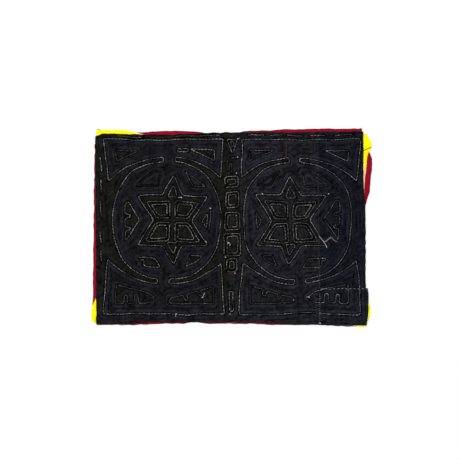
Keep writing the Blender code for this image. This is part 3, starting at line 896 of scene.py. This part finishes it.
def margin_heights(bottom, marks, folded=0.0):
    """The heights function of a cloth of which margins show; folded is the depth of its pressed fold."""

    def heights(points, edge, below):
        rolled = EDGE_DROP * (1 - ramp(edge, 0, EDGE_ROLL))
        puffed = PUFF * ramp(edge, 0, PUFF_RISE) * ramp(-edge, -PUFF_END, PUFF_FALL)
        upper = THICK - rolled + puffed * vary(points, MARGIN_PUFF)
        upper = upper + vary(points, MARGIN_DIMPLES) - folded * fold_groove(points)
        return bottom + lift(points) + np.where(below, 0, upper), marks_at(points, marks)

    return heights


def sewn_heights(laps):
    """The heights function of a backing, which laps over so many others."""

    def heights(points, edge, below):
        sewn = sewing_at(points)
        rolled = SEWN_DROP * EDGE_DROP * (1 - ramp(edge, 0, EDGE_ROLL))
        upper = THICK + sewn.relief * ramp(edge, 0, SEWN_EDGE) - rolled
        z = BACKING_Z + lift(points) + rise(points, laps) + np.where(below, 0, upper)
        foot = FOOT_BLOCK * ramp(BLOCK_BOTTOM + RING_Y + FOOT_ABOVE - points[:, 1], 0, FOOT_BLEND)
        block = np.maximum(sewn.block, foot)
        # ridge is the relief height, which the material turns into painted shade and light
        return z, {"block": block, "ridge": sewn.relief, **marks_at(points, BLACK_MARKS)}

    return heights


# Thread

def stitch_shape():
    """One stitch along X, a unit long and a unit in radius: it rises from the cloth and dives back."""
    shape = bmesh.new()
    bmesh.ops.create_cone(shape, cap_ends=True, segments=6, radius1=1, radius2=1, depth=1)
    long_edges = [edge for edge in shape.edges if abs(edge.verts[0].co.z - edge.verts[1].co.z) > 0.5]
    bmesh.ops.subdivide_edges(shape, edges=long_edges, cuts=2, use_grid_fill=False)
    for vert in shape.verts:
        along, across, up = vert.co.z, vert.co.x, vert.co.y
        slim = 1 - TAPER * along * along
        vert.co = (along, across * slim, up * slim + ARCH - DIVE * along * along)
    bmesh.ops.recalc_face_normals(shape, faces=shape.faces)
    return shape


def ball_shape():
    shape = bmesh.new()
    bmesh.ops.create_uvsphere(shape, u_segments=7, v_segments=5, radius=1)
    return shape


def warmth(points):
    """How much of the warmer thread was sewn at each point: in the stars and in the middle column."""
    side = np.abs(points[:, 0])
    stars = dip(side - RING_X, STAR_WARM_X) * dip(points[:, 1] - RING_Y, STAR_WARM_Y)
    return np.clip(stars + ramp(-side, *COLUMN_WARM_X) * ramp(-points[:, 1], *COLUMN_WARM_Y), 0, 1)


def joined_copies(name, shape, middles, ways, lengths, radii, pale, material):
    """One mesh of many copies of a small shape. Each has its middle at a point and its X along a way."""
    corners = np.array([tuple(vert.co) for vert in shape.verts])
    faces = [[vert.index for vert in face.verts] for face in shape.faces]
    shape.free()
    ways = unit(ways)
    sideways = unit(np.column_stack([-ways[:, 1], ways[:, 0], 0 * ways[:, 0]]))
    upwards = np.cross(ways, sideways)
    places = middles[:, None]
    for n, (axis, sizes) in enumerate(((ways, lengths), (sideways, radii), (upwards, radii))):
        places = places + axis[:, None] * (corners[:, n, None] * sizes[:, None, None])
    places = places * MM
    counts = np.tile([len(face) for face in faces], len(middles))
    joined = np.concatenate([np.array(face) for face in faces])
    joined = (joined[None] + len(corners) * np.arange(len(middles))[:, None]).ravel()
    mesh = bpy.data.meshes.new(name)
    mesh.vertices.add(places.shape[0] * places.shape[1])
    mesh.vertices.foreach_set("co", places.ravel())
    mesh.loops.add(len(joined))
    mesh.loops.foreach_set("vertex_index", joined.astype(np.int32))
    mesh.polygons.add(len(counts))
    starts = np.concatenate([[0], np.cumsum(counts)[:-1]])
    mesh.polygons.foreach_set("loop_start", starts.astype(np.int32))
    mesh.update(calc_edges=True)
    around = np.arctan2(corners[:, 2], corners[:, 1])
    twist = corners[None, :, 0] * lengths[:, None] * math.tau / PLY + 2 * around[None]
    shade, warm = np.repeat([pale, warmth(middles[:, :2])], len(corners), axis=1)
    put(mesh, twist=twist.ravel(), pale=shade, warm=warm)
    return finished(name, mesh, material)


def backing_top(points):
    """Z of the backing's upper face, on whichever piece is uppermost."""
    on_side = past_seam(points) > 0
    on_mend = on_side & (above_mend(points) < 0)
    raised = np.where(on_mend, rise(points, 2), np.where(on_side, rise(points, 1), 0))
    return BACKING_Z + lift(points) + raised + THICK + sewing_at(points).relief


def on_cloth(points):
    return np.column_stack([points, backing_top(points)])


def sewn_ends(lines, seed):
    """Both ends of every stitch along the lines, and how pale each stitch is."""
    draw = np.random.default_rng(seed)
    starts, ends, pale = [], [], []
    for line in lines:
        lengths = lengths_along(line.points)
        most = int(lengths[-1] / STITCH_LENGTHS[0]) + 2
        long = draw.uniform(*STITCH_LENGTHS, most)
        skip = draw.uniform(*SKIP_LENGTHS, most)
        begin = np.cumsum(long + skip) - long
        kept = begin + long < lengths[-1] + OVERRUN
        begin, stop = begin[kept], (begin + long)[kept]
        stray = draw.normal(0, STRAY, (2, len(begin), 2))
        starts.append(points_along(begin, lengths, line.points) + stray[0])
        ends.append(points_along(stop, lengths, line.points) + stray[1])
        middle = (starts[-1] + ends[-1]) / 2
        tone = line.pale * vary(middle, THREAD_TONE) * draw.uniform(*STITCH_TONES, len(begin))
        on_side_piece = ramp(past_seam(middle), 0, DULL_BLEND) * ramp(above_mend(middle), 0, DULL_BLEND)
        pale.append(np.clip(tone * (1 - DULL * on_side_piece), DARKEST, 1))
    return np.concatenate(starts), np.concatenate(ends), np.concatenate(pale)


def stitches(name, near, far, raised, radii, pale, material, longer=0.0):
    """Short pieces of thread from near places to far ones, their middles raised off the cloth."""
    middles = (near + far) / 2
    middles[:, 2] += raised
    lengths = np.linalg.norm(far - near, axis=1) + longer
    return joined_copies(name, stitch_shape(), middles, far - near, lengths, radii, pale, material)


def running_stitches(group, seed, material, radius):
    starts, ends, pale = sewn_ends([line for line in LINES if line.group == group], seed)
    near, far = on_cloth(starts), on_cloth(ends)
    middles = (near + far) / 2
    raised = np.maximum(backing_top(middles[:, :2]) - middles[:, 2], 0) + PROUD * radius
    radii = radius * (DARK_THIN + (PALE_THICK - DARK_THIN) * pale)
    return stitches(group + "_stitches", near, far, raised, radii, pale, material)


def whip_stitches(material):
    """Small slanting stitches over the long seam, pale along its lower half."""
    draw = np.random.default_rng(5)
    y = np.arange(MEND.bottom[1][0] + WHIP_IN, SIDE.top[1][0] - WHIP_IN, WHIP_PITCH)
    y = y + draw.normal(0, WHIP_STRAY, len(y))
    x = np.interp(y, *SIDE.left)
    (low, low_pale), (middle, middle_pale) = WHIP_LOW, WHIP_MIDDLE
    pale = np.select([y < low, y < middle], [low_pale, middle_pale], WHIP_HIGH)
    pale = np.clip(pale * draw.uniform(*WHIP_TONES, len(y)), 0, 1)
    starts = np.column_stack([x - draw.uniform(*WHIP_LEFT, len(y)), y - WHIP_SLANT])
    ends = np.column_stack([x + draw.uniform(*WHIP_RIGHT, len(y)), y + WHIP_SLANT])
    radii = np.full(len(y), WHIP_THREAD)
    near, far = on_cloth(starts), on_cloth(ends)
    return stitches("whip_stitches", near, far, WHIP_RAISED, radii, pale, material, WHIP_LONGER)


def mend_stitches(material):
    """The dashed line along the mend's upper edge."""
    draw = np.random.default_rng(6)
    first, last = np.interp(MEND_FOOT, *SIDE.left) + MEND_FIRST, MEND.right[1].max() - MEND_LAST
    x = np.arange(first, last, MEND_PITCH)
    y = np.interp(x, *MEND.top) - MEND_IN + draw.normal(0, MEND_STRAY, len(x))
    starts = np.column_stack([x, y])
    steps = np.column_stack([draw.uniform(*MEND_LENGTHS, len(x)), draw.normal(0, MEND_STRAY, len(x))])
    near, far = on_cloth(starts), on_cloth(starts + steps)
    radii = np.full(len(x), THREAD)
    pale = draw.uniform(*MEND_TONES, len(x))
    return stitches("mend_stitches", near, far, PROUD * THREAD, radii, pale, material)


def knots(material):
    """The knots, and the small beads where a stitch was sewn twice."""
    draw = np.random.default_rng(8)
    starts, _, pale = sewn_ends(SEEN, 9)
    doubled = starts[(draw.random(len(starts)) < DOUBLED) & (pale > DOUBLED_PALE)]
    spots = np.concatenate([KNOTS[:, :2], doubled])
    radii = np.concatenate([KNOTS[:, 2], draw.uniform(*BEAD_RADII, len(doubled))])
    middles = on_cloth(spots)
    middles[:, 2] += BEAD_RAISED * radii
    turn = draw.uniform(0, math.tau, len(spots))
    ways = np.column_stack([np.cos(turn), np.sin(turn), 0 * turn])
    pale = np.clip(draw.uniform(*BEAD_TONES, len(spots)), 0, 1)
    shape, lengths = ball_shape(), BEAD_LONG * radii
    return joined_copies("thread_knots", shape, middles, ways, lengths, radii, pale, material)


def loose_threads(name, tails, material):
    """Threads that lie on the cloth, as tubes along smooth curves."""
    curve = bpy.data.curves.new(name, "CURVE")
    curve.dimensions = "3D"
    curve.bevel_depth = MM
    curve.bevel_resolution = 2
    curve.resolution_u = 6
    curve.use_fill_caps = True
    for radius, places in tails:
        places = on_cloth(np.array(places, float))
        places[:, 2] += TAIL_PROUD * radius
        spline = curve.splines.new("NURBS")
        spline.points.add(len(places) - 1)
        for point, place in zip(spline.points, places):
            point.co = (*(place * MM), 1)
            point.radius = radius
        spline.use_endpoint_u = True
        spline.order_u = 4 if len(places) > 3 else 3
    drawn = linked(name + "_curve", curve)
    mesh = bpy.data.meshes.new_from_object(drawn.evaluated_get(bpy.context.evaluated_depsgraph_get()))
    mesh.name = name
    bpy.data.objects.remove(drawn)
    bpy.data.curves.remove(curve)
    put(mesh, twist=0.0, pale=TAIL_PALE, warm=TAIL_WARM)
    return finished(name, mesh, material)


def frayed_yarns(name, cloth, bottom, laps, count, seed, material, sides=(0, 1, 2, 3)):
    """Short yarn ends that stand out of a cut edge."""
    draw = np.random.default_rng(seed)
    side = draw.choice(sides, count)
    share = draw.random(count)
    s = np.select([side == 1, side == 3], [1.0, 0.0], share)
    t = np.select([side == 0, side == 2], [0.0, 1.0], share)
    places = spot(cloth, s, t)
    out = np.array((DOWN, RIGHT, UP, LEFT), float)[side]
    turn = draw.normal(0, YARN_TURN, count)
    across = out[:, 0] * np.cos(turn) - out[:, 1] * np.sin(turn)
    up = out[:, 0] * np.sin(turn) + out[:, 1] * np.cos(turn)
    ways = np.column_stack([across, up, draw.normal(0, YARN_TILT, count)])
    lengths = draw.uniform(*YARN_LENGTHS, count) * np.where(draw.random(count) < LONG_YARNS, 2.0, 1.0)
    z = bottom + lift(places) + rise(places, laps) + draw.uniform(*YARN_HEIGHTS, count) * THICK
    middles = np.column_stack([places, z]) + ways * (lengths * YARN_OUT)[:, None]
    radii = draw.uniform(*YARN_RADII, count)
    pale = draw.uniform(0, 1, count)
    return joined_copies(name, stitch_shape(), middles, ways, lengths, radii, pale, material)


# Floor, light and camera

def studio():
    shape = bmesh.new()
    bmesh.ops.create_grid(shape, x_segments=1, y_segments=1, size=FLOOR_HALF)
    mesh = mesh_of("floor", shape)
    matt = {"Base_Color": (0.15, 0.15, 0.15, 1), "Roughness": 1.0, "Specular_IOR_Level": 0.0}
    finish = Finish("pale floor", Emission_Color=(1, 1, 1, 1), Emission_Strength=FLOOR_GLOW, **matt)
    mesh.materials.append(finish.material)
    linked("floor", mesh)

    world = bpy.data.worlds.new("studio")
    world.use_nodes = True
    sky = world.node_tree.nodes["Background"].inputs
    sky["Color"].default_value = (1, 1, 1, 1)
    sky["Strength"].default_value = SKY
    bpy.context.scene.world = world

    light = bpy.data.lights.new("key", "AREA")
    light.shape = "DISK"
    light.size = KEY_WIDE
    light.energy = KEY_WATTS
    key = linked("key", light)
    key.location = KEY_PLACE
    key.rotation_euler = (-key.location).to_track_quat("-Z", "Y").to_euler()

    data = bpy.data.cameras.new("camera")
    data.lens, data.sensor_width = LENS, SENSOR
    camera = linked("camera", data)
    away = VIEW_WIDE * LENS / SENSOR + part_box("backing_main")[1].z / MM
    camera.location = (VIEW_X * MM, VIEW_Y * MM, away * MM)
    bpy.context.scene.camera = camera
    bpy.context.scene.view_settings.view_transform = "Standard"


# The piece list

def build():
    studio()
    # brown: painted shade on the top-left corner tip, and darker along the top middle
    worn_red, brown = ("fade", (0.27, 0.10, 0.06, 1)), ("darkened", (0.03, 0.006, 0.005, 1))
    # both cloths get painted shade along their rounded cut edges
    crimson = cotton("crimson cotton", (0.235, 0.0006, 0.013, 1), (worn_red, brown), rim_shade=0.5)
    cream, lemon = ("fade", (0.86, 0.52, 0.27, 1)), ("lemon", (0.86, 0.84, 0.06, 1))
    # the last part is darker olive along the top middle
    yellow_parts = (lemon, cream, ("dimmed", (0.045, 0.038, 0.004, 1)))
    # the colour of the painted shadow along the pressed fold
    pressed = (0.05, 0.05, 0.004, 1)
    yellow = cotton("yellow cotton", (0.86, 0.74, 0.001, 1), yellow_parts, rim_shade=0.85, fold_shade=pressed)
    purple_black, brown_black = (0.0065, 0.0061, 0.0079, 1), (0.0061, 0.0060, 0.0055, 1)
    blue_black, plum_black = (0.0028, 0.0038, 0.0072, 1), (0.0029, 0.0031, 0.0059, 1)
    mend_black = (0.0045, 0.0053, 0.0094, 1)
    faded_black = ("faded", (0.0124, 0.0133, 0.0182, 1))
    black = sewn_cotton("black cotton", brown_black, (("block", purple_black), faded_black))
    navy = sewn_cotton("navy cotton", plum_black, (("block", blue_black), faded_black))
    mend = sewn_cotton("blue black cotton", mend_black, (faded_black,))
    tan = spun("tan thread", (0.51, 0.51, 0.57, 1), (0.006, 0.006, 0.007, 1), warm=(0.53, 0.51, 0.45, 1))
    red_thread = spun("red thread", (0.13, 0.03, 0.03, 1), (0.1, 0.01, 0.01, 1))
    dark_yarn = spun("black yarn", (0.03, 0.027, 0.025, 1), (0.008, 0.008, 0.009, 1))
    crimson_yarn = spun("crimson yarn", (0.30, 0.01, 0.03, 1), (0.15, 0.0, 0.01, 1))
    yellow_yarn = spun("yellow yarn", (0.75, 0.65, 0.1, 1), (0.5, 0.4, 0.02, 1))

    red_low, yellow_low = low_z("red_layer"), low_z("yellow_layer")
    red_heights = margin_heights(red_low, RED_MARKS)
    yellow_heights = margin_heights(yellow_low, YELLOW_MARKS, FOLD_DEEP)
    sheets = (
        ("red_cloth", "red_layer", RED, MARGIN_GRID, red_heights, crimson, "red_cotton"),
        ("yellow_cloth", "yellow_layer", YELLOW, MARGIN_GRID, yellow_heights, yellow, "yellow_cotton"),
        ("black_backing", "backing_main", MAIN, SEWN_GRID, sewn_heights(0), black, "black_cotton"),
        ("side_backing", "backing_side", SIDE, SEWN_GRID, sewn_heights(1), navy, "navy_cotton"),
        ("corner_mend", "backing_corner", MEND, SEWN_GRID, sewn_heights(2), mend, "mend_cotton"),
    )
    under = ["floor"]
    for name, node, cloth, grid, heights, material, slot in sheets:
        piece = closed_sheet(name, cloth, grid, heights, material)
        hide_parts(node)
        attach(piece, "root")
        under = [*under[-2:], name] if name != "red_cloth" else [name]

    seams = (("left", THREAD), ("right", THREAD), ("column", THREAD), ("echo", ECHO_THREAD))
    threads = [running_stitches(group, seed, tan, radius) for seed, (group, radius) in enumerate(seams, 1)]
    threads += [whip_stitches(tan), mend_stitches(tan), knots(tan)]
    threads.append(loose_threads("loose_thread", TAILS, tan))
    threads.append(loose_threads("red_thread_ends", RED_TAILS, red_thread))
    sewing = [(piece, "thread") for piece in threads]
    frays = (
        ("black", MAIN, BACKING_Z, 0, 330, 12, dark_yarn, (0, 2, 3)),
        ("navy", SIDE, BACKING_Z, 1, 90, 13, dark_yarn, (1, 2)),
        ("mend", MEND, BACKING_Z, 2, 60, 14, dark_yarn, (0, 1)),
        ("red", RED, red_low, 0, 160, 15, crimson_yarn),
        ("yellow", YELLOW, yellow_low, 0, 160, 16, yellow_yarn),
    )
    sewing += [(frayed_yarns(name + "_frayed_edge", *rest), name + "_cotton") for name, *rest in frays]
    for piece, slot in sewing:
        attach(piece, "root")


build()
